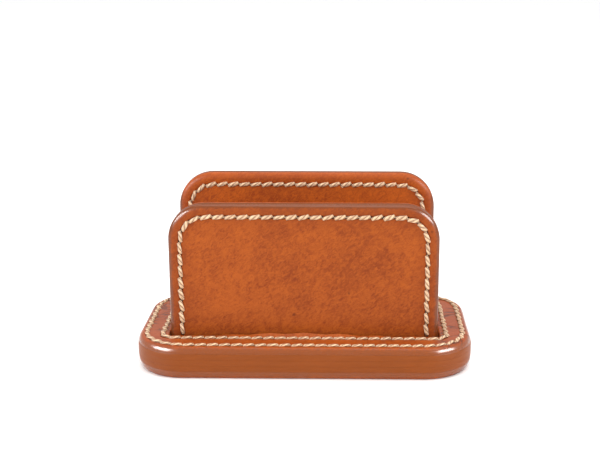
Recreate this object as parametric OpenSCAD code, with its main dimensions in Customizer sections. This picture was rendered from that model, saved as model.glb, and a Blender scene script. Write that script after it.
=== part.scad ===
// Desk card holder, hand stitched from vegetable-tanned leather.
// A laminated base carries two upright panels. Each panel is an outer leather, a stiffener and one
// leg of a U-shaped liner, saddle stitched together. The feet of the outer leathers turn outwards
// and are trapped under the base's top cover by a second row of stitches, round its window.
// Millimetres. +X is the width, +Y points to the back, +Z is up. The origin is under the base's middle.

/* [Panels] */
// Width of both panels
panel_w = 97; // [70:0.5:140]
// Height of the front panel above the base
front_rise = 48.5; // [34:0.5:90]
// Height of the back panel above the base
back_rise = 53.5; // [34:0.5:100]
// Radius of the panels' top corners
panel_r = 13; // [9:0.5:24]
// Clear gap between the two panels, where the cards stand
slot_gap = 24.6; // [9:0.2:60]
// Rounding of the panels' outer edges
panel_edge = 1; // [0.4:0.1:1.4]

/* [Leather] */
// Thickness of the panel leathers and of the liner
leather_t = 2.2; // [1.6:0.1:3.4]
// Thickness of the stiffener inside each panel
stiffener_t = 1.8; // [1:0.1:4]
// Inside radius of the turned-out feet
foot_bend = 0.4; // [0.2:0.1:0.5]
// Inside radius of the liner's two bends
liner_bend = 1.5; // [0.5:0.1:3]

/* [Base] */
// Thickness of the top cover
top_t = 2.4; // [1.8:0.1:4]
// Thickness of the bottom cover
bottom_t = 3; // [2.6:0.1:5]
// Thickness of each of the two core layers
core_t = 2.2; // [1.8:0.1:5]
// Base left showing at each side of the panels
side_margin = 12.5; // [11:0.5:30]
// Base left showing in front of and behind the panels
end_margin = 13.5; // [12:0.5:30]
// Corner radius of the base, seen from above
base_r = 18; // [8:0.5:22]
// Rounding of the base's top edge
top_edge = 1.6; // [0.4:0.1:1.7]
// Rounding of the base's bottom edge
bottom_edge = 2.3; // [0.4:0.1:2.5]
// Distance from the base's edge to the ends of the turned-out feet
foot_setback = 5.5; // [5:0.1:6.5]

/* [Stitching] */
// Wanted length of one stitch
stitch_len = 4.3; // [3:0.1:6]
// Width of the waxed thread
thread_w = 1.2; // [0.8:0.1:1.4]
// Thickness of the thread where it lies on the leather
thread_t = 0.8; // [0.6:0.1:1]
// Depth of the creased groove that a row lies in
groove = 0.35; // [0.1:0.05:0.5]
// Distance from a panel's edge to its row of stitches
panel_inset = 4.3; // [3:0.1:6]
// Distance from the base's edge to the row of stitches round it
rim_inset = 3.2; // [2.8:0.1:4]
// Distance from the panels to the row of stitches round them
window_inset = 3.1; // [2.6:0.1:4]

/* [Fits] */
// Gap between the panels and the window in the top cover
window_gap = 0.6; // [0.55:0.05:1]
// Gap round the feet and the liner's floor in their frame
foot_gap = 0.3; // [0.1:0.05:0.5]
// Radial gap between the thread and its holes
hole_gap = 0.05; // [0.02:0.01:0.15]

/* [Hidden] */
$fn = 48;

tan_leather = "#b5622b";
edge_leather = "#8a4a24";
linen = "#dcb98a";

// Heights of the base's layers, from the table up
lower_z = bottom_t;
upper_z = lower_z + core_t;
frame_z = upper_z + core_t;
cover_z = frame_z + leather_t;
base_t = cover_z + top_t;
front_top = base_t + front_rise;
back_top = base_t + back_rise;

// Distances from the middle of the slot to the layers of a panel
liner_y = slot_gap / 2;
core_y = liner_y + leather_t;
outer_y = core_y + stiffener_t;
face_y = outer_y + leather_t;

// The base seen from above, and the line that the feet are cut back to
base_w = panel_w + 2 * side_margin;
base_d = 2 * (face_y + end_margin);
base_corner = min(base_r, base_d / 2 - 1);
feet_w = base_w - 2 * foot_setback;
feet_d = base_d - 2 * foot_setback;
feet_r = base_corner - foot_setback;

// Rows of stitches
rim_w = base_w - 2 * rim_inset;
rim_d = base_d - 2 * rim_inset;
rim_r = base_corner - rim_inset;
window_w = panel_w + 2 * window_inset;
window_d = 2 * (face_y + window_inset);
window_cut = stitch_len * cos(45);
row_w = panel_w - 2 * panel_inset;
row_r = panel_r - panel_inset;
row_foot = cover_z + liner_bend + thread_w / 2 + 0.5;
front_row = front_top - panel_inset;
back_row = back_top - panel_inset;

// Thread and its holes
thread_r = 0.45;
hole_r = thread_r + hole_gap;
clear = 0.03;
buried = thread_t + 2 * clear;
cut = 1;

// ---------- walking along a row of stitches ----------

// A leg is [length, turn]: straight when the turn is 0, else an arc. A place is [x, y, heading].
function leg_end(p, leg) = leg[1] == 0
    ? [p[0] + leg[0] * cos(p[2]), p[1] + leg[0] * sin(p[2]), p[2]]
    : let (r = leg[0] / leg[1] * 180 / PI, h = p[2] + leg[1])
      [p[0] + r * (sin(h) - sin(p[2])), p[1] - r * (cos(h) - cos(p[2])), h];

function along(legs, s, p, i = 0) = i == len(legs) - 1 || s <= legs[i][0]
    ? leg_end(p, [s, legs[i][1] * s / legs[i][0]])
    : along(legs, s - legs[i][0], leg_end(p, legs[i]), i + 1);

function total(legs, i = 0) = i == len(legs) ? 0 : legs[i][0] + total(legs, i + 1);

// Needle holes, spread evenly along the legs at about the wanted stitch length
function holes(legs, start) =
    let (n = round(total(legs) / stitch_len), step = total(legs) / n)
    [for (i = [0:n]) along(legs, i * step, start)];

// Anticlockwise round the base, from the middle of its front side
rim_turn = [PI * rim_r / 2, 90];
rim_side = [rim_d - 2 * rim_r, 0];
rim_half = [rim_w / 2 - rim_r, 0];
rim_places = holes([rim_half, rim_turn, rim_side, rim_turn, rim_half, rim_half, rim_turn, rim_side,
                    rim_turn, rim_half], [0, -rim_d / 2, 0]);

// Round the window: its corners are crossed by one stitch each
function straight(from, to) =
    let (d = to - from, n = round(norm(d) / stitch_len))
    [for (i = [0:n - 1]) from + d * i / n];
corner_points = cut_corners(window_w, window_d, window_cut);
window_places = [for (i = [0:8]) each i == 8
    ? [corner_points[0]] : straight(corner_points[i], corner_points[(i + 1) % 8])];

// Up the left side of a panel, over its top and down the right side
row_turn = [PI * row_r / 2, -90];
row_over = [row_w - 2 * row_r, 0];
function panel_places(top) = let (side = [top - row_r - row_foot, 0])
    holes([side, row_turn, row_over, row_turn, side], [-row_w / 2, row_foot, 90]);
front_places = panel_places(front_row);
back_places = panel_places(back_row);

// ---------- flat outlines ----------

module rounded(w, d, r) {
    square([w, d - 2 * r], center = true);
    square([w - 2 * r, d], center = true);
    for (x = [-1, 1], y = [-1, 1]) translate([x * (w / 2 - r), y * (d / 2 - r)]) circle(r);
}

function cut_corners(w, d, c) = [[w / 2, c - d / 2], [w / 2, d / 2 - c], [w / 2 - c, d / 2], [c - w / 2, d / 2],
    [-w / 2, d / 2 - c], [-w / 2, c - d / 2], [c - w / 2, -d / 2], [w / 2 - c, -d / 2]];

// Square at the foot, round at the top
module arched(w, foot, top, r) {
    translate([-w / 2, foot]) square([w, top - r - foot]);
    translate([r - w / 2, foot]) square([w - 2 * r, top - foot]);
    for (x = [-1, 1]) translate([x * (w / 2 - r), top - r]) circle(r);
}

// A groove is as wide as its thread, and wider on a bend by what the straight stitches cut off it
function groove_w(r) = thread_w + 0.3 + stitch_len * stitch_len / (4 * r);

module rim_groove() {
    g = groove_w(rim_r);
    difference() {
        rounded(rim_w + g, rim_d + g, rim_r + g / 2);
        rounded(rim_w - g, rim_d - g, rim_r - g / 2);
    }
}

module window_groove() {
    g = groove_w(100);
    difference() {
        polygon(cut_corners(window_w + g, window_d + g, window_cut + 0.3 * g));
        polygon(cut_corners(window_w - g, window_d - g, window_cut - 0.3 * g));
    }
}

module panel_groove(top) {
    g = groove_w(row_r);
    difference() {
        arched(row_w + g, row_foot - thread_w / 2, top + g / 2, row_r + g / 2);
        arched(row_w - g, row_foot - thread_w, top - g / 2, row_r - g / 2);
    }
}

module drill(places, z0, z1) {
    for (p = places) translate([p[0], p[1], z0 - cut]) cylinder(h = z1 - z0 + 2 * cut, r = hole_r);
}

module between(z0, z1) {
    translate([0, 0, z0]) linear_extrude(z1 - z0) children();
}

// ---------- plates with rounded edges ----------

module corner(r) {
    difference() {
        square(r + cut);
        circle(r);
    }
}

// Half section of a plate, from the middle of a corner to the edge
module section(r, z0, z1, lower, upper) {
    difference() {
        translate([0, z0]) square([r, z1 - z0]);
        if (upper > 0) translate([r - upper, z1 - upper]) corner(upper);
        if (lower > 0) translate([r - lower, z0 + lower]) mirror([0, 1]) corner(lower);
    }
}

// The section turned about its corner, or run straight along +X from there
module turned(r, z0, z1, lower, upper) {
    rotate_extrude(angle = 90) section(r, z0, z1, lower, upper);
}

module run(length, r, z0, z1, lower, upper) {
    rotate([90, 0, 90]) linear_extrude(length) section(r, z0, z1, lower, upper);
}

module base_plate(z0, z1, lower, upper) {
    r = base_corner;
    a = base_w / 2 - r;
    b = base_d / 2 - r;
    for (x = [0, 1], y = [0, 1]) mirror([x, 0, 0]) mirror([0, y, 0]) {
        translate([a, b, 0]) turned(r, z0, z1, lower, upper);
        translate([0, b, 0]) run(a, r, z0, z1, lower, upper);
        translate([a, b, 0]) rotate(-90) run(b, r, z0, z1, lower, upper);
        translate([0, 0, z0]) cube([a, b, z1 - z0]);
    }
}

module panel_plate(foot, top, z0, z1, lower, upper) {
    r = panel_r;
    a = panel_w / 2 - r;
    b = top - r;
    for (x = [0, 1]) mirror([x, 0, 0]) {
        translate([a, b, 0]) turned(r, z0, z1, lower, upper);
        translate([0, b, 0]) run(a, r, z0, z1, lower, upper);
        translate([a, b, 0]) rotate(-90) run(b - foot, r, z0, z1, lower, upper);
        translate([0, foot, z0]) cube([a, b - foot, z1 - z0]);
    }
}

// ---------- thread ----------

// One stitch from place p to place q, leaning across the line as a saddle stitch does
module stitch(p, q) {
    d = [q[0] - p[0], q[1] - p[1]];
    reach = norm(d) / 2 + 0.15;
    half = thread_w / 2;
    lean = 0.45 * half;
    translate([p[0] + d[0] / 2, p[1] + d[1] / 2]) rotate(atan2(d[1], d[0]))
        polygon([[-reach, -lean], [1 - reach, half - lean], [reach - 1, half],
                 [reach, lean], [reach - 1, lean - half], [1 - reach, -half]]);
}

// A row along each face, its undersides at z0 and z1, joined by the thread in the holes
module thread(places, z0, z1) {
    for (z = [z0, z1]) between(z, z + thread_t)
        for (i = [0:len(places) - 2]) stitch(places[i], places[i + 1]);
    last = len(places) - 1;
    open = norm([places[0][0] - places[last][0], places[0][1] - places[last][1]]) > 1;
    for (i = [open ? 0 : 1:last])
        translate([places[i][0], places[i][1], z0 + thread_t / 2]) cylinder(h = z1 - z0, r = thread_r);
}

// ---------- the base, from the table up ----------

// Grain side down; the row is sunk so that the base stands on the leather
module base_bottom_cover() {
    color(tan_leather) difference() {
        base_plate(0, lower_z, bottom_edge, 0);
        between(-cut, buried) rim_groove();
        drill(rim_places, 0, lower_z);
    }
}

module base_core_lower() {
    color(edge_leather) difference() {
        between(lower_z, upper_z) rounded(base_w, base_d, base_corner);
        drill(rim_places, lower_z, upper_z);
    }
}

// The window's row comes out in a groove on this layer's underside
module base_core_upper() {
    color(edge_leather) difference() {
        between(upper_z, frame_z) rounded(base_w, base_d, base_corner);
        between(upper_z - cut, upper_z + buried) window_groove();
        drill(rim_places, upper_z, frame_z);
        drill(window_places, upper_z, frame_z);
    }
}

// Fills the height of the feet round their outline
module base_foot_frame() {
    w = panel_w + 2 * foot_gap;
    color(edge_leather) difference() {
        between(frame_z, cover_z) rounded(base_w, base_d, base_corner);
        between(frame_z - cut, cover_z + cut) intersection() {
            square([w, base_d], center = true);
            rounded(feet_w + 2 * foot_gap, feet_d + 2 * foot_gap, feet_r + foot_gap);
        }
        drill(rim_places, frame_z, cover_z);
        drill(window_places, frame_z, cover_z);
    }
}

module base_top_cover() {
    w = panel_w + 2 * window_gap;
    d = 2 * (face_y + window_gap);
    color(tan_leather) difference() {
        base_plate(cover_z, base_t, 0, top_edge);
        between(cover_z - cut, base_t + cut) rounded(w, d, panel_edge);
        between(base_t - groove, base_t + cut) rim_groove();
        between(base_t - groove, base_t + cut) window_groove();
        drill(rim_places, cover_z, base_t);
        drill(window_places, cover_z, base_t);
    }
}

// ---------- the panels, each drawn flat with its outer face up, then stood up ----------

module at_front() {
    rotate([90, 0, 0]) children();
}

module at_back() {
    rotate(180) at_front() children();
}

// A quarter bend of leather across the panels: side -1 lies in front of its line, side 1 behind it
module bend(inside, y, z, side) {
    translate([-panel_w / 2, y, z]) rotate([90, 0, 90]) linear_extrude(panel_w) intersection() {
        difference() {
            circle(inside + leather_t);
            circle(inside);
        }
        translate([side < 0 ? -10 : 0, -10]) square(10);
    }
}

// The front one; the back one is the same turned round
module outer_leather(top, row, places) {
    foot_start = face_y + foot_bend;
    difference() {
        union() {
            at_front() panel_plate(cover_z + foot_bend, top, outer_y, face_y, 0, panel_edge);
            bend(foot_bend, -foot_start, cover_z + foot_bend, 1);
            between(frame_z, cover_z) intersection() {
                translate([-panel_w / 2, -base_d / 2]) square([panel_w, base_d / 2 - foot_start]);
                rounded(feet_w, feet_d, feet_r);
            }
        }
        at_front() between(face_y - groove, face_y + cut) panel_groove(row);
        at_front() drill(places, outer_y, face_y);
        drill(window_places, frame_z, cover_z);
    }
}

module front_outer_leather() {
    color(tan_leather) outer_leather(front_top, front_row, front_places);
}

module back_outer_leather() {
    color(tan_leather) rotate(180) outer_leather(back_top, back_row, back_places);
}

module stiffener(top, places) {
    difference() {
        between(core_y, outer_y) arched(panel_w, frame_z, top, panel_r);
        drill(places, core_y, outer_y);
    }
}

module front_stiffener() {
    color(edge_leather) at_front() stiffener(front_top, front_places);
}

module back_stiffener() {
    color(edge_leather) at_back() stiffener(back_top, back_places);
}

// One leg of the liner, as high as its panel
module liner_leg(top, row, places) {
    difference() {
        panel_plate(cover_z + liner_bend, top, liner_y, core_y, panel_edge, 0);
        between(liner_y - cut, liner_y + groove) panel_groove(row);
        drill(places, liner_y, core_y);
    }
}

// Front leg, floor and back leg in one piece of leather
module slot_liner() {
    flat = liner_y - liner_bend;
    color(tan_leather) {
        at_front() liner_leg(front_top, front_row, front_places);
        at_back() liner_leg(back_top, back_row, back_places);
        bend(liner_bend, -flat, cover_z + liner_bend, -1);
        bend(liner_bend, flat, cover_z + liner_bend, 1);
        translate([-panel_w / 2, -flat, frame_z]) cube([panel_w, 2 * flat, leather_t]);
    }
}

// ---------- the thread of each row ----------

module front_panel_thread() {
    color(linen) at_front() thread(front_places, liner_y + groove - thread_t, face_y - groove);
}

module back_panel_thread() {
    color(linen) at_back() thread(back_places, liner_y + groove - thread_t, face_y - groove);
}

module window_thread() {
    color(linen) thread(window_places, upper_z + clear, base_t - groove);
}

module rim_thread() {
    color(linen) thread(rim_places, clear, base_t - groove);
}

base_bottom_cover();
base_core_lower();
base_core_upper();
base_foot_frame();
base_top_cover();
front_outer_leather();
front_stiffener();
slot_liner();
back_stiffener();
back_outer_leather();
front_panel_thread();
back_panel_thread();
window_thread();
rim_thread();
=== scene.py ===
import math
import random
import bmesh
import bpy
from mathutils import Matrix, Vector


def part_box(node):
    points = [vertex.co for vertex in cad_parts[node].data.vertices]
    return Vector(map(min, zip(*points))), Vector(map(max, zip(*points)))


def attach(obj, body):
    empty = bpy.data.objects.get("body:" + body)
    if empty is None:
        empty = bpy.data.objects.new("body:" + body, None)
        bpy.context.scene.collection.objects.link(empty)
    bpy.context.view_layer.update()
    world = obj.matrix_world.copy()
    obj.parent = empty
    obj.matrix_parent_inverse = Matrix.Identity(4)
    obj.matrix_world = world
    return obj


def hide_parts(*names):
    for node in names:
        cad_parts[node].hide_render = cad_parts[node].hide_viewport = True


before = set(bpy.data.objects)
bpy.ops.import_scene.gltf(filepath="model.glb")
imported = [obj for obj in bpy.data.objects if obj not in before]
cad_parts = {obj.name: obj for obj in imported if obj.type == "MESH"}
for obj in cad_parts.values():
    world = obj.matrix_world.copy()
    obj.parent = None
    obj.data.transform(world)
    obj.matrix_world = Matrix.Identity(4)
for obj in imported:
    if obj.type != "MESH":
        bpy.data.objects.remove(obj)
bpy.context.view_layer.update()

# ------------------------------------------------------------------------------------------------
# Camera and light. The holder stands on a white table in a white room, under a broad soft light.
# A small soft box at each side shapes it, and a gloss card beside each draws the streaks on the
# waxed corners without lighting the leather.
# ------------------------------------------------------------------------------------------------
TURN, TILT = math.radians(0.96), math.radians(14.84)
HOLDER = (0, 0, 0.03)
bpy.ops.object.select_all(action="DESELECT")
bpy.ops.object.camera_add(location=(0.0159, -0.4057, 0.1550), rotation=(math.pi / 2 - TILT, 0, TURN))
camera = bpy.context.object
camera.name = "studio_camera"
camera.data.lens = 67.94
camera.data.sensor_width = 36
camera.data.shift_x = -0.05
camera.data.clip_start, camera.data.clip_end = 0.01, 20
bpy.context.scene.camera = camera
bpy.context.scene.view_settings.view_transform = "Standard"


def soft_box(name, place, aim, width, height, power):
    """A rectangular soft light at one place, facing another."""
    bpy.ops.object.light_add(type="AREA", location=place)
    lamp = bpy.context.object
    lamp.name = name
    lamp.data.shape = "RECTANGLE"
    lamp.data.size, lamp.data.size_y = width, height
    lamp.data.energy = power
    lamp.rotation_euler = (Vector(aim) - Vector(place)).to_track_quat("-Z", "Y").to_euler()
    return lamp


soft_box("overhead_soft_box", (0.05, 0.05, 0.9), (0, 0, 0.02), 0.9, 0.7, 6)
soft_box("left_soft_box", (-0.50, -0.42, 0.50), HOLDER, 0.20, 0.14, 1.6)
soft_box("right_soft_box", (0.55, -0.38, 0.50), HOLDER, 0.20, 0.14, 1.6)
for name, place in (("left_gloss_card", (-0.48, -0.27, 0.30)), ("right_gloss_card", (0.50, -0.30, 0.32))):
    card = soft_box(name, place, HOLDER, 0.42, 0.24, 10)
    card.visible_diffuse = False

room = bpy.data.worlds.new("white_room")
bpy.context.scene.world = room
room.use_nodes = True
room.node_tree.nodes["Background"].inputs["Color"].default_value = (1, 1, 1, 1)
room.node_tree.nodes["Background"].inputs["Strength"].default_value = 1.05

# ------------------------------------------------------------------------------------------------
# Base bottom cover. A disc of vegetable-tanned leather, grain side down, whose lower edge is
# bevelled round and burnished. The rim's stitches come out in a groove sunk into its underside.
# ------------------------------------------------------------------------------------------------
MM = 0.001              # sizes are in millimetres, and become metres where a mesh is made
CORNER_STEPS = 14
STITCH = 4.3            # from one needle hole to the next
THREAD_HALF = 0.6
BASE_RADIUS = 18
EDGE_REACH = 2.2        # how far in the base's rounded edge reaches
EDGE_UPPER = 8.6        # heights between which the base's wall is upright
EDGE_LOWER = 6.0
EDGE_STEPS = 6
WALL_LEAST = 0.2        # shortest upright wall on a disc of the base
CREASE = 1.9            # width of the groove along a row of stitches
SUNK = 0.86             # depth of the groove in the underside
SEAM = 0.05             # fine bevel where two layers meet
AWL_SLANT = 0.85        # the awl's turn from the row's direction, in radians
AWL_SIZE = (0.85, 0.28, 1.1)
SMOOTH_BELOW = math.radians(40)


def span(node):
    """Lowest and highest corners of a CAD node, in millimetres."""
    return [[value / MM for value in corner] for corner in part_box(node)]


def pick(kind, test):
    """In edit mode, selects just the vertices, edges or faces that pass the test."""
    bpy.ops.mesh.select_mode(type=kind)
    bpy.ops.mesh.select_all(action="DESELECT")
    mesh = bmesh.from_edit_mesh(bpy.context.object.data)
    for part in {"VERT": mesh.verts, "EDGE": mesh.edges, "FACE": mesh.faces}[kind]:
        if test(part):
            part.select_set(True)
    bmesh.update_edit_mesh(bpy.context.object.data)


def quarter_round(radius, steps=5):
    """Insets (inwards, outwards) that carry a wall round on to a face."""
    angles = [math.pi / 2 * n / steps for n in range(steps + 1)]
    return [(radius * (math.cos(a) - math.cos(b)), radius * (math.sin(b) - math.sin(a)))
            for a, b in zip(angles, angles[1:])]


def crease(width, depth):
    """Insets for the groove that a row of stitches is drawn down into."""
    lip, slope = 0.3, 0.25
    return [(lip, -0.25 * depth), (slope, -0.75 * depth), (width - 2 * (lip + slope), 0),
            (slope, 0.75 * depth), (lip, 0.25 * depth)]


def inset_rings(rings):
    """Insets the selected face ring by ring."""
    for inwards, outwards in rings:
        bpy.ops.mesh.inset(thickness=inwards * MM, depth=outwards * MM)


def cut_sheet(name, material, low, high, radius, height, square_foot=False):
    """A flat outline with rounded corners, left in edit mode. A square foot keeps two corners sharp."""
    bpy.ops.object.select_all(action="DESELECT")
    bpy.ops.mesh.primitive_plane_add(size=MM)
    sheet = bpy.context.object
    sheet.name = name
    sheet.data.materials.append(material)
    bpy.ops.object.mode_set(mode="EDIT")
    bpy.ops.transform.resize(value=(high[0] - low[0], high[1] - low[1], 1))
    middle = ((low[0] + high[0]) / 2, (low[1] + high[1]) / 2, height)
    bpy.ops.transform.translate(value=[value * MM for value in middle])
    pick("VERT", lambda vert: not square_foot or vert.co.y > middle[1] * MM)
    bpy.ops.mesh.bevel(offset=radius * MM, segments=CORNER_STEPS, affect="VERTICES")
    bpy.ops.mesh.select_mode(type="FACE")
    bpy.ops.mesh.select_all(action="SELECT")
    return sheet


def thicken(low, high, below, above):
    """Raises the sheet's wall from one height to another, then finishes both faces with rings."""
    bpy.ops.mesh.extrude_region_move(TRANSFORM_OT_translate={"value": (0, 0, (high - low) * MM)})
    inset_rings(above)
    bpy.ops.mesh.select_all(action="SELECT")
    bpy.ops.mesh.normals_make_consistent(inside=False)
    pick("FACE", lambda face: face.normal.z < -0.9 and face.calc_center_median().z < low * MM + 1e-6)
    inset_rings(below)


def edge_rings(start, end):
    """Insets along the base's rounded edge from one height to another, and its inset at the start."""
    if end > start:
        centre, reach, way = EDGE_UPPER, base_top - EDGE_UPPER, 1
    else:
        centre, reach, way = EDGE_LOWER, EDGE_LOWER, -1
    first, last = [math.asin(min(1, max(0, (height - centre) * way / reach))) for height in (start, end)]
    rings, before = [], (EDGE_REACH * (1 - math.cos(first)), start)
    for number in range(1, EDGE_STEPS + 1):
        angle = first + (last - first) * number / EDGE_STEPS
        after = (EDGE_REACH * (1 - math.cos(angle)), centre + way * reach * math.sin(angle))
        rings.append((after[0] - before[0], abs(after[1] - before[1])))
        before = after
    return (rings if last > first else []), EDGE_REACH * (1 - math.cos(first))


def base_disc(name, material, node, below, above):
    """One disc of the base, its wall a slice of the rounded edge. It ends in a seam, or in rings."""
    low, high = span(node)
    bottom, top = low[2] + (0 if below else SEAM), high[2] - (0 if above else SEAM)
    wall_low = min(max(bottom, EDGE_LOWER), top - WALL_LEAST)
    wall_high = max(min(top, EDGE_UPPER), wall_low + WALL_LEAST)
    down, inset_low = edge_rings(wall_low, bottom)
    up, inset_high = edge_rings(wall_high, top)
    inset = min(inset_low, inset_high) if wall_low < EDGE_LOWER else inset_high
    disc = cut_sheet(name, material, [value + inset for value in low], [value - inset for value in high],
                     BASE_RADIUS - inset, wall_low)
    thicken(wall_low, wall_high, down + (below or [(SEAM, SEAM)]), up + (above or [(SEAM, SEAM)]))
    return disc


def row(legs, start):
    """Needle holes about a stitch apart, spread evenly along legs of (length, turn in radians)."""
    whole = sum(length for length, _ in legs)
    count = round(whole / STITCH)
    holes = []
    for number in range(count + 1):
        left = whole * number / count
        x, y, heading = start
        for length, turn in legs:
            step = min(left, length)
            left -= step
            if turn:
                after = heading + turn * step / length
                x += length / turn * (math.sin(after) - math.sin(heading))
                y -= length / turn * (math.cos(after) - math.cos(heading))
                heading = after
            else:
                x += step * math.cos(heading)
                y += step * math.sin(heading)
        holes.append(Vector((x, y, 0)))
    return holes


def heading(first, last):
    """Direction from one place to another, seen from above."""
    return math.atan2(last.y - first.y, last.x - first.x)


def copies(model, name, places):
    """One mesh made of a copy of the model at each place. The model itself stays."""
    made = []
    for place in places:
        bpy.ops.object.select_all(action="DESELECT")
        model.select_set(True)
        bpy.context.view_layer.objects.active = model
        bpy.ops.object.duplicate()
        bpy.context.object.matrix_world = place
        made.append(bpy.context.object)
    bpy.ops.object.select_all(action="DESELECT")
    for copy in made:
        copy.select_set(True)
    bpy.context.view_layer.objects.active = made[0]
    bpy.ops.object.join()
    bpy.ops.object.transform_apply(location=True, rotation=True, scale=True)
    bpy.context.object.name = name
    return bpy.context.object


def awl_model():
    """The blade's shape: a slim lens, longer along X."""
    bpy.ops.object.select_all(action="DESELECT")
    bpy.ops.mesh.primitive_cylinder_add(vertices=10, radius=MM, depth=2 * MM)
    blade = bpy.context.object
    blade.name = "awl_blade"
    blade.scale = AWL_SIZE
    bpy.ops.object.transform_apply(location=True, rotation=True, scale=True)
    return blade


awl = awl_model()


def cut_away(piece, tool, name):
    """Cuts the tool's shape out of the piece, and removes the tool."""
    bpy.ops.object.select_all(action="DESELECT")
    piece.select_set(True)
    bpy.context.view_layer.objects.active = piece
    cut = piece.modifiers.new(name, "BOOLEAN")
    cut.object = tool
    cut.operation = "DIFFERENCE"
    cut.solver = "EXACT"
    # The cut's walls take the tool's material. For the awl blades, that is the needle holes' painted shade.
    cut.material_mode = "TRANSFER"
    bpy.ops.object.modifier_apply(modifier=name)
    bpy.data.objects.remove(tool)


def prick(piece, holes, height, closed=True):
    """Cuts a slanted awl hole at each place of a row, at the height of the piece's face."""
    bpy.ops.object.mode_set(mode="OBJECT")
    places = []
    for number, hole in enumerate(holes):
        before = holes[number - 1] if closed or number else hole
        after = holes[(number + 1) % len(holes)] if closed or number + 1 < len(holes) else hole
        places.append(Matrix.Translation((hole + Vector((0, 0, height))) * MM)
                      @ Matrix.Rotation(heading(before, after) + AWL_SLANT, 4, "Z"))
    cut_away(piece, copies(awl, "awl_blades", places), "needle_holes")


def finish_leather(piece, node):
    """Smooths the faces, and makes the piece stand for its CAD node."""
    bpy.ops.object.select_all(action="DESELECT")
    piece.select_set(True)
    bpy.context.view_layer.objects.active = piece
    bpy.ops.object.shade_smooth_by_angle(angle=SMOOTH_BELOW)
    even = piece.modifiers.new("even_shading", "WEIGHTED_NORMAL")
    even.keep_sharp = True
    even.weight = 80
    bpy.ops.object.modifier_apply(modifier="even_shading")
    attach(piece, "root")
    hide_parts(node)


def shader_group(name, inputs, outputs):
    """An empty shader group with named sockets, and its input and output nodes."""
    group = bpy.data.node_groups.new(name, "ShaderNodeTree")
    for names, way in ((inputs, "INPUT"), (outputs, "OUTPUT")):
        for socket, socket_type in names:
            group.interface.new_socket(socket, in_out=way, socket_type=f"NodeSocket{socket_type}")
    return group, group.nodes.new("NodeGroupInput"), group.nodes.new("NodeGroupOutput")


def fill(tree, socket, value):
    """Links a socket to another, or sets it to a plain value."""
    if isinstance(value, bpy.types.NodeSocket):
        tree.links.new(value, socket)
    else:
        socket.default_value = value


def add(tree, kind, settings=None, **links):
    """A node with its settings, whose inputs are linked or set by name, or by number as i0, i1."""
    node = tree.nodes.new(f"ShaderNode{kind}")
    for key, value in (settings or {}).items():
        setattr(node, key, value)
    for key, value in links.items():
        by_number = key[0] == "i" and key[1:].isdigit()
        fill(tree, node.inputs[int(key[1:]) if by_number else key], value)
    return node


def maths(tree, operation, *values):
    """The result of a Math node."""
    names = {f"i{n}": value for n, value in enumerate(values)}
    return add(tree, "Math", {"operation": operation}, **names).outputs[0]


def ramp(tree, value, low, high, start=0.0, end=1.0):
    """A smooth step: start below low, end above high."""
    node = add(tree, "MapRange", {"interpolation_type": "SMOOTHSTEP"}, i0=value, i1=low, i2=high,
               i3=start, i4=end)
    return node.outputs[0]


def noise(tree, vector, scale, detail=3.0, rough=0.55, twist=0.0):
    """Smooth noise from 0 to 1."""
    return add(tree, "TexNoise", None, Vector=vector, Scale=scale, Detail=detail, Roughness=rough,
               Distortion=twist).outputs["Fac"]


def cells(tree, vector, scale, feature="F1"):
    """Distance from the middles of scattered cells, or from their edges."""
    return add(tree, "TexVoronoi", {"feature": feature}, Vector=vector, Scale=scale).outputs["Distance"]


# Hide grain: Cloud is the dye's variation, Pores the hair pores and freckles, Creases the fine lines
# left where the hide was bent, and Height the relief.
hide, ins, outs = shader_group("hide_grain", [("Vector", "Vector")],
                               [("Cloud", "Float"), ("Pores", "Float"), ("Creases", "Float"),
                                ("Height", "Float")])
where = ins.outputs["Vector"]
slow = noise(hide, where, 38, 4, 0.6, 0.4)
middling = noise(hide, where, 210, 5, 0.65, 0.8)
leaning = add(hide, "Mapping", None, Vector=where, Rotation=(0.2, -0.85, 0.1)).outputs[0]
drawn = add(hide, "Mapping", None, Vector=leaning, Scale=(1, 1, 0.5)).outputs[0]
quick_grain = noise(hide, drawn, 1150, 4, 0.65, 1.2)
mixed = maths(hide, "ADD", maths(hide, "MULTIPLY", slow, 0.45), maths(hide, "MULTIPLY", middling, 0.35))
mixed = maths(hide, "ADD", mixed, maths(hide, "MULTIPLY", quick_grain, 0.85))
hide.links.new(ramp(hide, mixed, 0.60, 1.02), outs.inputs["Cloud"])
small_pores = ramp(hide, cells(hide, where, 1250), 0.10, 0.34, 1.0, 0.0)
small_pores = maths(hide, "MULTIPLY", small_pores, ramp(hide, middling, 0.42, 0.62))
freckles = ramp(hide, maths(hide, "ADD", cells(hide, where, 95), maths(hide, "MULTIPLY", quick_grain, 0.05)),
                0.055, 0.10, 1.0, 0.0)
pores = maths(hide, "MAXIMUM", maths(hide, "MULTIPLY", small_pores, 0.55), freckles)
hide.links.new(pores, outs.inputs["Pores"])
stretched = add(hide, "Mapping", None, Vector=leaning, Scale=(1, 1, 0.3)).outputs[0]
lines = noise(hide, stretched, 110, 3, 0.6, 0.6)
lines = ramp(hide, maths(hide, "ABSOLUTE", maths(hide, "SUBTRACT", lines, 0.5)), 0.0, 0.04, 1.0, 0.0)
lines = maths(hide, "MULTIPLY", lines, ramp(hide, noise(hide, where, 70, 2), 0.40, 0.56))
hide.links.new(lines, outs.inputs["Creases"])
relief = maths(hide, "MULTIPLY", cells(hide, where, 1700, "DISTANCE_TO_EDGE"), 0.5)
relief = maths(hide, "ADD", relief, maths(hide, "MULTIPLY", quick_grain, 0.8))
relief = maths(hide, "ADD", relief, maths(hide, "MULTIPLY", middling, 1.6))
relief = maths(hide, "SUBTRACT", relief, maths(hide, "MULTIPLY", pores, 0.5))
hide.links.new(relief, outs.inputs["Height"])

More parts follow.
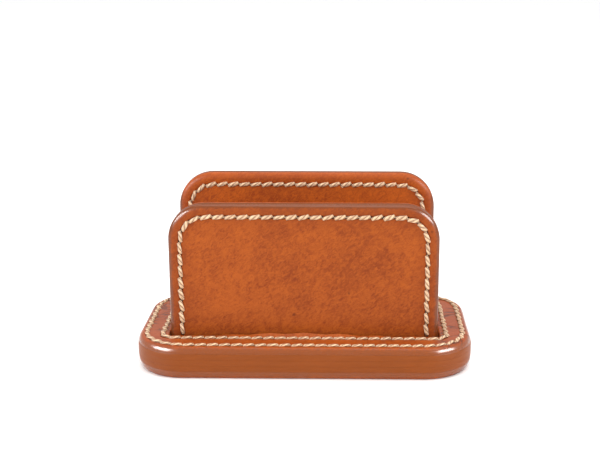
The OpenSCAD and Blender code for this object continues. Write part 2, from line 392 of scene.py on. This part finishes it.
# Distance in from a rounded outline, in millimetres.
rim_group, ins, outs = shader_group(
    "distance_from_edge",
    [("X", "Float"), ("Y", "Float"), ("Half X", "Float"), ("Half Y", "Float"), ("Radius", "Float")],
    [("Distance", "Float")])
sides = []
for axis in ("X", "Y"):
    reach = maths(rim_group, "ABSOLUTE", maths(rim_group, "MULTIPLY", ins.outputs[axis], 1 / MM))
    straight = maths(rim_group, "SUBTRACT", ins.outputs[f"Half {axis}"], ins.outputs["Radius"])
    sides.append(maths(rim_group, "SUBTRACT", reach, straight))
squares = [maths(rim_group, "POWER", maths(rim_group, "MAXIMUM", side, 0), 2) for side in sides]
beyond = maths(rim_group, "SQRT", maths(rim_group, "ADD", *squares))
within = maths(rim_group, "MINIMUM", maths(rim_group, "MAXIMUM", *sides), 0)
outside = maths(rim_group, "ADD", beyond, within)
rim_group.links.new(maths(rim_group, "SUBTRACT", ins.outputs["Radius"], outside), outs.inputs["Distance"])


def place_group(tree, group, **links):
    """A node group in a material, its inputs filled by name."""
    node = add(tree, "Group", {"node_tree": group})
    for key, value in links.items():
        fill(tree, node.inputs[key.replace("_", " ")], value)
    return node


TAN_LIGHT = (0.367, 0.079, 0.009, 1)
TAN_DARK = (0.195, 0.033, 0.004, 1)
BURNISHED = (0.215, 0.049, 0.006, 1)
PORE = (0.07, 0.014, 0.004, 1)


def blend_colour(tree, amount, first, second):
    """The first colour at 0, the second at 1."""
    node = add(tree, "Mix", {"data_type": "RGBA", "clamp_factor": True}, i0=amount, i6=first, i7=second)
    return node.outputs[2]


def toned(colour, tone):
    """A colour made lighter or darker."""
    return tuple(value * tone for value in colour[:3]) + (1,)


def tan_leather(name, shift, edge, tone=1.0, creased=0.15, edge_tone=1.0):
    """Waxed tan leather. edge(tree, x, y, z) gives the distance in from the piece's edge in
    millimetres. creased is how strongly handling has marked it, most of all at the base's ends."""
    light, dark, worn = toned(TAN_LIGHT, tone), toned(TAN_DARK, tone), toned(BURNISHED, edge_tone)
    leather = bpy.data.materials.new(name)
    leather.use_nodes = True
    tree = leather.node_tree
    skin = tree.nodes["Principled BSDF"]
    coordinates = add(tree, "TexCoord")
    local = coordinates.outputs["Object"]
    moved = add(tree, "Mapping", None, Vector=local, Location=shift).outputs[0]
    grain = place_group(tree, hide, Vector=moved)
    parts = add(tree, "SeparateXYZ", None, Vector=local).outputs
    inwards = edge(tree, *parts)
    rubbed = ramp(tree, maths(tree, "ADD", inwards, maths(tree, "MULTIPLY", grain.outputs["Cloud"], 0.5)),
                  0.9, 1.9, 1.0, 0.0)
    # Painted shade: from 11 mm in from the edge to 3 mm in, the colour darkens by up to 0.45 towards the
    # dark tan.
    painted_edge_shade = ramp(tree, inwards, 3.0, 11.0, 0.45, 0.0)
    colour = blend_colour(tree, grain.outputs["Cloud"], dark, light)
    colour = blend_colour(tree, painted_edge_shade, colour, dark)
    ends = ramp(tree, maths(tree, "ABSOLUTE", parts[0]), 0.047, 0.051, 0.15, 1.0)
    handled = maths(tree, "MULTIPLY", ends, creased)
    colour = blend_colour(tree, maths(tree, "MULTIPLY", handled, 0.5), colour, dark)
    creases = maths(tree, "MULTIPLY", grain.outputs["Creases"], handled)
    colour = blend_colour(tree, maths(tree, "MULTIPLY", creases, 0.8), colour, PORE)
    colour = blend_colour(tree, maths(tree, "MULTIPLY", grain.outputs["Pores"], 0.6), colour, PORE)
    colour = blend_colour(tree, maths(tree, "MULTIPLY", rubbed, 0.85), colour, worn)
    tree.links.new(colour, skin.inputs["Base Color"])
    rough = maths(tree, "ADD", 0.50, maths(tree, "MULTIPLY", grain.outputs["Cloud"], -0.10))
    rough = maths(tree, "SUBTRACT", rough, maths(tree, "MULTIPLY", rubbed, 0.16))
    tree.links.new(rough, skin.inputs["Roughness"])
    sheen = maths(tree, "MULTIPLY_ADD", handled, 0.16, 0.02)
    upright = add(tree, "SeparateXYZ", None, Vector=coordinates.outputs["Normal"]).outputs[2]
    polished = maths(tree, "MULTIPLY", rubbed, ramp(tree, upright, 0.75, 0.95, 1.0, 0.2))
    coat = maths(tree, "MULTIPLY_ADD", polished, 0.3 + 0.2 * creased, sheen)
    tree.links.new(coat, skin.inputs["Coat Weight"])
    skin.inputs["Coat Roughness"].default_value = 0.12 + 0.06 * creased
    skin.inputs["Specular IOR Level"].default_value = 0.10
    height = maths(tree, "MULTIPLY", grain.outputs["Height"], maths(tree, "MULTIPLY_ADD", rubbed, -0.8, 1.0))
    height = maths(tree, "SUBTRACT", height, maths(tree, "MULTIPLY", creases, 2.5))
    bump = add(tree, "Bump", None, Height=height, Strength=0.35, Distance=0.00012)
    tree.links.new(bump.outputs[0], skin.inputs["Normal"])
    return leather


# Painted shade for the needle holes: a near-black material on the awl blade, which the cut passes on to each
# hole's walls.
HOLE_SHADE_DARK = (0.012, 0.004, 0.002, 1)
HOLE_SHADE_LIGHT = (0.035, 0.012, 0.005, 1)
hole_shade_material = bpy.data.materials.new("needle_hole_painted_shade")
hole_shade_material.use_nodes = True
hole_shade_nodes = hole_shade_material.node_tree
hole_shade_bsdf = hole_shade_nodes.nodes["Principled BSDF"]
hole_shade_noise = noise(hole_shade_nodes, add(hole_shade_nodes, "TexCoord").outputs["Object"], 2500, 2)
hole_shade_nodes.links.new(blend_colour(hole_shade_nodes, hole_shade_noise, HOLE_SHADE_DARK, HOLE_SHADE_LIGHT), hole_shade_bsdf.inputs["Base Color"])
hole_shade_bsdf.inputs["Roughness"].default_value = 0.95
awl.data.materials.append(hole_shade_material)

base_half = span("base_bottom_cover")[1][:2]
base_top = span("base_top_cover")[1][2]
rim_half = [value - THREAD_HALF for value in span("rim_thread")[1][:2]]
rim_inset = base_half[0] - rim_half[0]
rim_radius = BASE_RADIUS - rim_inset
rim_turn = (math.pi / 2 * rim_radius, math.pi / 2)
rim_front, rim_side = (rim_half[0] - rim_radius, 0), (2 * (rim_half[1] - rim_radius), 0)
rim_holes = row([rim_front, rim_turn, rim_side, rim_turn, rim_front, rim_front, rim_turn, rim_side,
                 rim_turn, rim_front], (0, -rim_half[1], 0))[:-1]


def base_edge(tree, x, y, z):
    """Distance in from the base's outline."""
    return place_group(tree, rim_group, X=x, Y=y, Half_X=base_half[0], Half_Y=base_half[1],
                       Radius=BASE_RADIUS).outputs[0]


base_leather = tan_leather("waxed_base_leather", (0.31, 0.12, 0.44), base_edge, 1.18, 1.0, 0.9)

flat = rim_inset - EDGE_REACH - CREASE / 2
bottom_cover = base_disc("bottom_cover_leather", base_leather, "base_bottom_cover",
                         [(flat, 0)] + crease(CREASE, SUNK), None)
bpy.ops.object.mode_set(mode="OBJECT")
prick(bottom_cover, rim_holes, SUNK)
finish_leather(bottom_cover, "base_bottom_cover")

# ------------------------------------------------------------------------------------------------
# Base cores. Two inner discs of the same hide, cemented between the covers, and a frame above them
# that leaves room for the panels' feet. Only their edges show, sanded and burnished with the rest.
# ------------------------------------------------------------------------------------------------
EDGE_LIGHT = (0.225, 0.050, 0.005, 1)
EDGE_DARK = (0.205, 0.045, 0.004, 1)


def burnished_leather(name, tone, gloss):
    """The sanded, waxed and rubbed edge of stacked hides, with the faint streaks of its layers."""
    leather = bpy.data.materials.new(name)
    leather.use_nodes = True
    tree = leather.node_tree
    skin = tree.nodes["Principled BSDF"]
    local = add(tree, "TexCoord").outputs["Object"]
    layered = add(tree, "Mapping", None, Vector=local, Scale=(1, 1, 9)).outputs[0]
    streak = noise(tree, layered, 120, 5, 0.6, 0.5)
    mixed = maths(tree, "ADD", maths(tree, "MULTIPLY", streak, 0.6),
                  maths(tree, "MULTIPLY", noise(tree, local, 60), 0.4))
    colour = blend_colour(tree, ramp(tree, mixed, 0.35, 0.65), toned(EDGE_DARK, tone),
                          toned(EDGE_LIGHT, tone))
    tree.links.new(colour, skin.inputs["Base Color"])
    tree.links.new(maths(tree, "MULTIPLY_ADD", streak, 0.12, 0.36), skin.inputs["Roughness"])
    skin.inputs["Coat Weight"].default_value = gloss
    skin.inputs["Specular IOR Level"].default_value = gloss
    skin.inputs["Coat Roughness"].default_value = 0.2
    bump = add(tree, "Bump", None, Height=streak, Strength=0.12, Distance=0.0001)
    tree.links.new(bump.outputs[0], skin.inputs["Normal"])
    return leather


base_edge_leather = burnished_leather("burnished_base_edge", 1.0, 0.10)
for name, node in (("lower_core_leather", "base_core_lower"), ("upper_core_leather", "base_core_upper")):
    core = base_disc(name, base_edge_leather, node, None, None)
    bpy.ops.object.mode_set(mode="OBJECT")
    finish_leather(core, node)

FOOT_ROOM = 0.3         # gap round the panels' feet
FOOT_CORNER = 0.5
CUT_PAST = 1            # how far a cutter runs past each face
low, high = span("base_foot_frame")
panel_low, panel_high = span("front_outer_leather")
foot_frame = base_disc("foot_frame_leather", base_edge_leather, "base_foot_frame", None, None)
bpy.ops.object.mode_set(mode="OBJECT")
room_for_feet = (panel_high[0] + FOOT_ROOM, -panel_low[1] + FOOT_ROOM)
cut_out = cut_sheet("foot_cut_out", base_edge_leather, [-value for value in room_for_feet],
                    room_for_feet, FOOT_CORNER, low[2] - CUT_PAST)
thicken(low[2] - CUT_PAST, high[2] + CUT_PAST, [], [])
bpy.ops.object.mode_set(mode="OBJECT")
cut_away(foot_frame, cut_out, "foot_cut_out")
finish_leather(foot_frame, "base_foot_frame")

# ------------------------------------------------------------------------------------------------
# Base top cover. The disc that shows, grain side up, with a window through which the panels rise.
# Its edge is bevelled, and both rows of stitches lie in creases drawn with a hot creaser.
# ------------------------------------------------------------------------------------------------
GROOVE = 0.35           # depth of the groove in a face that shows
WINDOW_GAP = 0.6        # from the panels' ends to the window
WINDOW_ROUND = 0.5
LIP_RISE = 1.5          # most that the lip stands up beside the panels
LIP_REACH = 46          # half length of the wavy lip
LIP_SLOPE = 1.2
LIP_DEPTH = 1           # the wave moves only what lies this near the top
CUTS_APART = 4          # cuts across the cover, so that its lip can wave
ROUND_MORE = 0.8        # corner radius of the window, past the chamfer of its row of stitches
MANY_SIDES = 40
top_low, top_high = span("base_top_cover")
window_row = [value - THREAD_HALF for value in span("window_thread")[1][:2]]
window = (panel_high[0] + WINDOW_GAP, window_row[1] - (window_row[0] - panel_high[0] - WINDOW_GAP))
chamfer = STITCH * math.cos(math.pi / 4)


def ring_of(outer, inner, heights):
    """Joins an outer wall to an inner one, their flat faces left out, by bridging at each height."""
    bpy.ops.object.select_all(action="DESELECT")
    inner.select_set(True)
    outer.select_set(True)
    bpy.context.view_layer.objects.active = outer
    bpy.ops.object.join()
    bpy.ops.object.mode_set(mode="EDIT")
    for height in heights:
        pick("EDGE", lambda edge: edge.is_boundary
             and all(abs(vert.co.z - height * MM) < 1e-5 for vert in edge.verts))
        bpy.ops.mesh.bridge_edge_loops()
    bpy.ops.mesh.select_all(action="SELECT")
    bpy.ops.mesh.normals_make_consistent(inside=False)


def drop_big_faces():
    """Deletes the flat faces that close the piece, which are the only ones with many sides."""
    pick("FACE", lambda face: len(face.verts) > MANY_SIDES)
    bpy.ops.mesh.delete(type="ONLY_FACE")


top_cover = base_disc("top_cover_leather", base_leather, "base_top_cover", None,
                      [(flat, 0)] + crease(CREASE, GROOVE))
drop_big_faces()
bpy.ops.object.mode_set(mode="OBJECT")
outside = [value + CREASE / 2 for value in window_row]
window_wall = cut_sheet("window_wall", base_leather, [-value for value in outside], outside,
                        chamfer + ROUND_MORE, top_high[2])
lip = window_row[0] - window[0] - CREASE / 2 - WINDOW_ROUND
inset_rings(crease(CREASE, GROOVE) + [(lip, 0)])
inset_rings([(outwards, -inwards) for inwards, outwards in quarter_round(WINDOW_ROUND, 4)])
bpy.ops.mesh.extrude_region_move(TRANSFORM_OT_translate={
    "value": (0, 0, (top_low[2] - top_high[2] + WINDOW_ROUND) * MM)})
drop_big_faces()
bpy.ops.object.mode_set(mode="OBJECT")
ring_of(top_cover, window_wall, (top_low[2], top_high[2]))
for place in range(2 - LIP_REACH, LIP_REACH - 1, CUTS_APART):
    bpy.ops.mesh.select_all(action="SELECT")
    bpy.ops.mesh.bisect(plane_co=(place * MM, 0, 0), plane_no=(1, 0, 0))
bpy.ops.object.mode_set(mode="OBJECT")
for vert in top_cover.data.vertices:
    x, y, z = vert.co / MM
    beyond = window_row[1] - CREASE / 2 - abs(y)
    if z > top_high[2] - LIP_DEPTH and beyond > 0 and abs(x) < LIP_REACH:
        wave = 0.45 + 0.35 * math.cos((x + 2) / 13) + 0.2 * math.sin(x * 0.47 + 2.1 + y)
        vert.co.z += LIP_RISE * wave * min(1, beyond / LIP_SLOPE) * (1 - (x / LIP_REACH) ** 4) * MM

corner = [(window_row[0], chamfer - window_row[1]), (window_row[0], window_row[1] - chamfer),
          (window_row[0] - chamfer, window_row[1]), (chamfer - window_row[0], window_row[1]),
          (-window_row[0], window_row[1] - chamfer), (-window_row[0], chamfer - window_row[1]),
          (chamfer - window_row[0], -window_row[1]), (window_row[0] - chamfer, -window_row[1])]
window_holes = []
for number, first in enumerate(corner):
    first, last = Vector((*first, 0)), Vector((*corner[(number + 1) % 8], 0))
    parts = max(1, round((last - first).length / STITCH))
    window_holes += [first.lerp(last, part / parts) for part in range(parts)]

prick(top_cover, rim_holes, top_high[2] - GROOVE)
prick(top_cover, window_holes, top_high[2] - GROOVE)
finish_leather(top_cover, "base_top_cover")

# ------------------------------------------------------------------------------------------------
# Outer panels. One piece of tan hide each, its free edge bevelled, and its foot turned outwards
# and cemented between the upper core and the top cover. The row of stitches runs in a crease.
# ------------------------------------------------------------------------------------------------
PANEL_RADIUS = 13
PANEL_ROUND = 1.8       # how deep the panels' edge is rounded, and how far in
PANEL_FALL = 2.4
PANEL_EDGE_TONE = 0.62
PANEL_INSET = 4.3       # from the panels' edge to the row of stitches
LEATHER = 2.2
ROW_START = 0.45        # first needle hole above the thread's lowest point
OUTER_BEND = (10.0, 18.9)  # height, and distance from the slot's middle, that the foot turns about
BEND_STEPS = 6
FRONT = Matrix.Rotation(math.pi / 2, 4, "X")
BACK = Matrix.Rotation(math.pi, 4, "Z") @ FRONT
half_panel = panel_high[0]
SPARE = 20              # below the panels, trimmed off again


def panel_material(name, shift, top, tone=1.0):
    """Tan leather whose wear and painted edge shade follow a panel's edge. The outline runs on far below the
    foot.
    """
    reach = 90

    def panel_edge(tree, x, y, z):
        down = maths(tree, "SUBTRACT", z, (top - reach) * MM)
        return place_group(tree, rim_group, X=x, Y=down, Half_X=half_panel, Half_Y=reach,
                           Radius=PANEL_RADIUS).outputs[0]
    return tan_leather(name, shift, panel_edge, tone, edge_tone=PANEL_EDGE_TONE)


def panel_sheet(name, material, top, near, far, near_rings, far_rings, foot):
    """A panel layer lying flat: height along Y, and its distance from the slot's middle along Z."""
    sheet = cut_sheet(name, material, (-half_panel, -SPARE), (half_panel, top), PANEL_RADIUS,
                      near + near_rings[0], square_foot=True)
    thicken(near + near_rings[0], far - far_rings[0], near_rings[1], far_rings[1])
    bpy.ops.mesh.select_all(action="SELECT")
    bpy.ops.mesh.bisect(plane_co=(0, foot * MM, 0), plane_no=(0, 1, 0), use_fill=True, clear_inner=True)
    return sheet


def pick_foot(foot):
    """Selects the flat face that the sheet was trimmed to."""
    pick("FACE", lambda face: all(abs(vert.co.y - foot * MM) < 1e-6 for vert in face.verts))


def stand(sheet, way):
    """Stands a flat piece up at the front or the back."""
    bpy.ops.object.mode_set(mode="OBJECT")
    bpy.ops.object.select_all(action="DESELECT")
    sheet.select_set(True)
    bpy.context.view_layer.objects.active = sheet
    sheet.matrix_world = way
    bpy.ops.object.transform_apply(location=True, rotation=True, scale=True)


def panel_holes(top):
    """The row up one side, over the top and down the other, from just above the base."""
    half_row, radius = half_panel - PANEL_INSET, PANEL_RADIUS - PANEL_INSET
    foot = span("front_panel_thread")[0][2] + ROW_START
    side = (top - PANEL_INSET - radius - foot, 0)
    turn = (math.pi / 2 * radius, -math.pi / 2)
    return row([side, turn, (2 * (half_row - radius), 0), turn, side], (-half_row, foot, math.pi / 2))


seam_rings = (SEAM, quarter_round(SEAM, 2))
edge_and_crease = (PANEL_ROUND, [(inwards * PANEL_FALL / PANEL_ROUND, outwards)
                                 for inwards, outwards in quarter_round(PANEL_ROUND, 7)]
                   + [(PANEL_INSET - CREASE / 2 - PANEL_FALL, 0)] + crease(CREASE, GROOVE))
panels = {"front": FRONT, "back": BACK}
hide_shifts = {"front": (0.75, 0.33, 0.21), "back": (0.18, 0.64, 0.83)}
for side, way in panels.items():
    node = f"{side}_outer_leather"
    low, high = span(node)
    near = min(abs(low[1]), abs(high[1]))
    far = near + LEATHER
    flange = max(abs(low[1]), abs(high[1]))
    hide_here = panel_material(f"waxed_{side}_leather", hide_shifts[side], high[2])
    outer = panel_sheet(f"{side}_panel_leather", hide_here, high[2], near, far, seam_rings,
                        edge_and_crease, OUTER_BEND[0])
    prick(outer, panel_holes(high[2]), far - GROOVE, closed=False)
    bpy.ops.object.mode_set(mode="EDIT")
    pick_foot(OUTER_BEND[0])
    bpy.ops.mesh.spin(steps=BEND_STEPS, angle=math.pi / 2, axis=(1, 0, 0),
                      center=(0, OUTER_BEND[0] * MM, OUTER_BEND[1] * MM))
    bpy.ops.mesh.extrude_region_move(
        TRANSFORM_OT_translate={"value": (0, 0, (flange - OUTER_BEND[1]) * MM)})
    stand(outer, way)
    finish_leather(outer, node)

# ------------------------------------------------------------------------------------------------
# Stiffeners. A firm board of the same hide inside each panel, seen only as the middle layer of the
# panel's burnished edge.
# ------------------------------------------------------------------------------------------------
panel_edge_leather = burnished_leather("burnished_panel_edge", PANEL_EDGE_TONE, 0.02)
for side, way in panels.items():
    node = f"{side}_stiffener"
    low, high = span(node)
    near, far = sorted((abs(low[1]), abs(high[1])))
    board = panel_sheet(f"{side}_stiffener_leather", panel_edge_leather, high[2], near, far,
                        seam_rings, seam_rings, low[2])
    stand(board, way)
    finish_leather(board, node)

# ------------------------------------------------------------------------------------------------
# Slot lining. One strip of hide, grain side in, that runs down one panel, across the floor of the
# slot and up the other, so that the cards slide on smooth leather.
# ------------------------------------------------------------------------------------------------
LINER_BEND = (11.1, 10.8)  # height, and distance from the slot's middle, that the floor turns about
UNWORN = 3              # keeps the rubbed edge's colour off the lining
far = span("slot_liner")[1][1]
lining_face = far - LEATHER
tops = {side: span(f"{side}_outer_leather")[1][2] for side in panels}
liner_leather = panel_material("waxed_lining_leather", (0.52, 0.91, 0.07), tops["back"] + UNWORN, 1.32)
halves = []
for side, way in panels.items():
    half = panel_sheet(f"{side}_half_of_lining", liner_leather, tops[side], lining_face, far,
                       edge_and_crease, seam_rings, LINER_BEND[0])
    prick(half, panel_holes(tops[side]), lining_face + GROOVE, closed=False)
    bpy.ops.object.mode_set(mode="EDIT")
    pick_foot(LINER_BEND[0])
    bpy.ops.mesh.spin(steps=BEND_STEPS, angle=-math.pi / 2, axis=(1, 0, 0),
                      center=(0, LINER_BEND[0] * MM, LINER_BEND[1] * MM))
    bpy.ops.mesh.extrude_region_move(TRANSFORM_OT_translate={"value": (0, 0, -LINER_BEND[1] * MM)})
    bpy.ops.mesh.delete(type="FACE")
    stand(half, way)
    halves.append(half)
bpy.ops.object.select_all(action="DESELECT")
for half in halves:
    half.select_set(True)
bpy.ops.object.join()
lining = bpy.context.object
lining.name = "slot_lining_leather"
bpy.ops.object.mode_set(mode="EDIT")
bpy.ops.mesh.select_all(action="SELECT")
bpy.ops.mesh.remove_doubles(threshold=0.00001)
bpy.ops.mesh.normals_make_consistent(inside=False)
bpy.ops.object.mode_set(mode="OBJECT")
finish_leather(lining, "slot_liner")

# ------------------------------------------------------------------------------------------------
# Thread. Thick waxed linen of three plies, sewn by hand in saddle stitch: each stitch leans a
# little, and dives into its awl holes. The four rows are the rim, the window and the two panels.
# ------------------------------------------------------------------------------------------------
bpy.data.objects.remove(awl)
THREAD_TAN = (0.41, 0.215, 0.095, 1)
THREAD_PALE = (0.60, 0.370, 0.190, 1)
THREAD_BRIGHT = (0.84, 0.62, 0.39, 1)
# Painted shade colour for the seams between the plies.
THREAD_PLY_SHADE = (0.21, 0.085, 0.030, 1)
PLIES = 3
PLY_TURNS = 1.2         # turns of the plies along one stitch
PLY_DEPTH = 0.17
LEAN = math.radians(13)
LIE = 0.05              # how high a stitch lies on its face
UNDER_LIE = 0.25        # how high a stitch lies in the groove underneath
TIED_LIE = 0.4          # the same where the window's stitches are tied off
UNEVEN = 0.10           # most that a stitch turns from the row's lean, in radians
WIDTHS = (0.86, 1.08)
THICKNESSES = (0.90, 1.06)
# Place along the stitch, height, half width and half thickness of each ring.
STITCH_RINGS = [(-2.14, -1.3, 0.36, 0.34), (-2.12, -0.45, 0.54, 0.44), (-1.80, -0.02, 0.72, 0.54),
                (-0.70, 0.10, 0.84, 0.52), (0.70, 0.10, 0.84, 0.52), (1.80, -0.02, 0.72, 0.54),
                (2.12, -0.45, 0.54, 0.44), (2.14, -1.3, 0.36, 0.34)]

waxed_thread = bpy.data.materials.new("waxed_linen_thread")
waxed_thread.use_nodes = True
thread_tree = waxed_thread.node_tree
thread_skin = thread_tree.nodes["Principled BSDF"]
thread_local = add(thread_tree, "TexCoord").outputs["Object"]
around, along, _ = add(thread_tree, "SeparateXYZ", None,
                       Vector=add(thread_tree, "UVMap", {"uv_map": "ply"}).outputs[0]).outputs
turned = maths(thread_tree, "MULTIPLY_ADD", along, PLY_TURNS, around)
ply = maths(thread_tree, "PINGPONG", maths(thread_tree, "MULTIPLY", turned, PLIES), 0.5)
ply = maths(thread_tree, "MULTIPLY", ply, 2)
fibres = add(thread_tree, "CombineXYZ", None, X=maths(thread_tree, "MULTIPLY", turned, 14), Y=along, Z=0.0)
stray = noise(thread_tree, fibres.outputs[0], 3, 2)
wax = noise(thread_tree, thread_local, 260, 3)
ply_crest = ramp(thread_tree, ply, 0.0, 0.6)
thread_colour = blend_colour(thread_tree, ramp(thread_tree, wax, 0.35, 0.65), THREAD_TAN, THREAD_PALE)
thread_colour = blend_colour(thread_tree, ramp(thread_tree, stray, 0.40, 0.70, 0.0, 0.85), thread_colour,
                             THREAD_BRIGHT)
# Painted shade: the seams between the plies take the dark colour, which fades out towards each ply's crest.
thread_colour = blend_colour(thread_tree, ply_crest, THREAD_PLY_SHADE, thread_colour)
thread_tree.links.new(thread_colour, thread_skin.inputs["Base Color"])
thread_skin.inputs["Roughness"].default_value = 0.62
thread_skin.inputs["Sheen Weight"].default_value = 0.15
thread_bump = add(thread_tree, "Bump", None, Strength=0.8, Distance=0.00015,
                  Height=maths(thread_tree, "ADD", ply_crest, maths(thread_tree, "MULTIPLY", stray, 0.5)))
thread_tree.links.new(thread_bump.outputs[0], thread_skin.inputs["Normal"])


def stitch_model():
    """One stitch along X, lying on a face at z = 0, its two ends going down into the leather."""
    bpy.ops.object.select_all(action="DESELECT")
    bpy.ops.mesh.primitive_circle_add(vertices=9, radius=MM, fill_type="NGON",
                                      rotation=(0, -math.pi / 2, 0))
    stitch = bpy.context.object
    stitch.name = "one_stitch"
    bpy.ops.object.transform_apply(location=True, rotation=True, scale=True)
    bpy.ops.object.mode_set(mode="EDIT")
    bpy.ops.mesh.select_all(action="SELECT")
    last_ring = len(STITCH_RINGS) - 1
    for _ in range(last_ring):
        bpy.ops.mesh.extrude_region_move(TRANSFORM_OT_translate={"value": (MM, 0, 0)})
    bpy.ops.object.mode_set(mode="OBJECT")
    ring_of_vert = [round(vert.co.x / MM) for vert in stitch.data.vertices]
    turn_of_vert = [math.atan2(vert.co.z, vert.co.y) for vert in stitch.data.vertices]
    ply_map = stitch.data.uv_layers.new(name="ply")
    for face in stitch.data.polygons:
        turns = [turn_of_vert[stitch.data.loops[loop].vertex_index] / (2 * math.pi) + 0.5
                 for loop in face.loop_indices]
        wrap = max(turns) - min(turns) > 0.5
        for loop, turn in zip(face.loop_indices, turns):
            ring = ring_of_vert[stitch.data.loops[loop].vertex_index]
            ply_map.data[loop].uv = (turn + 1 if wrap and turn < 0.5 else turn, ring / last_ring)
    for vert, ring, turn in zip(stitch.data.vertices, ring_of_vert, turn_of_vert):
        x, z, wide, thick = STITCH_RINGS[ring]
        twisted = turn + 2 * math.pi * PLY_TURNS * ring / last_ring
        plump = 1 - PLY_DEPTH * (0.5 + 0.5 * math.cos(PLIES * twisted))
        vert.co = Vector((x, math.cos(turn) * wide * plump, z + math.sin(turn) * thick * plump)) * MM
    bpy.ops.object.mode_set(mode="EDIT")
    bpy.ops.mesh.select_all(action="SELECT")
    bpy.ops.mesh.normals_make_consistent(inside=False)
    bpy.ops.object.mode_set(mode="OBJECT")
    bpy.ops.object.shade_smooth()
    stitch.data.materials.append(waxed_thread)
    return stitch


def stitches(holes, closed, height, flip, way):
    """Places of the stitches between one hole and the next, at a height, facing up or down."""
    places = []
    for number, first in enumerate(holes if closed else holes[:-1]):
        last = holes[(number + 1) % len(holes)]
        middle = (first + last) / 2 + Vector((0, 0, height))
        unevenness = hand.uniform(-1, 1) * UNEVEN
        size = Matrix.Diagonal(((last - first).length / STITCH, hand.uniform(*WIDTHS),
                                hand.uniform(*THICKNESSES), 1))
        turn = Matrix.Rotation(heading(first, last) + LEAN * (-1 if flip else 1) + unevenness, 4, "Z")
        over = Matrix.Rotation(math.pi if flip else 0, 4, "X")
        places.append(way @ Matrix.Translation(middle * MM) @ turn @ over @ size)
    return places


def finish_thread(row_of_stitches, node):
    """Makes a row of stitches stand for its CAD node."""
    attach(row_of_stitches, "root")
    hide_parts(node)


hand = random.Random(7)
stitch = stitch_model()
flat_way = Matrix.Identity(4)
rim_places = (stitches(rim_holes, True, top_high[2] + LIE, False, flat_way)
              + stitches(rim_holes, True, SUNK - UNDER_LIE, True, flat_way))
finish_thread(copies(stitch, "rim_stitching", rim_places), "rim_thread")
window_places = stitches(window_holes, True, top_high[2] + LIE, False, flat_way)
window_foot = span("window_thread")[0][2]
window_places += stitches(window_holes, True, window_foot + TIED_LIE, True, flat_way)
finish_thread(copies(stitch, "window_stitching", window_places), "window_thread")
for side, way in panels.items():
    low, high = span(f"{side}_outer_leather")
    face = min(abs(low[1]), abs(high[1])) + LEATHER
    holes = panel_holes(high[2])
    places = (stitches(holes, False, face + LIE, False, way)
              + stitches(holes, False, lining_face - LIE, True, way))
    finish_thread(copies(stitch, f"{side}_panel_stitching", places), f"{side}_panel_thread")
bpy.data.objects.remove(stitch)

# ------------------------------------------------------------------------------------------------
# Table. A plain white surface, far wider than the holder.
# ------------------------------------------------------------------------------------------------
bpy.ops.object.select_all(action="DESELECT")
bpy.ops.mesh.primitive_plane_add(size=6)
floor = bpy.context.object
floor.name = "white_table"
white = bpy.data.materials.new("white_table")
white.use_nodes = True
paint = white.node_tree.nodes["Principled BSDF"]
paint.inputs["Base Color"].default_value = (0.93, 0.93, 0.93, 1)
paint.inputs["Roughness"].default_value = 0.6
floor.data.materials.append(white)
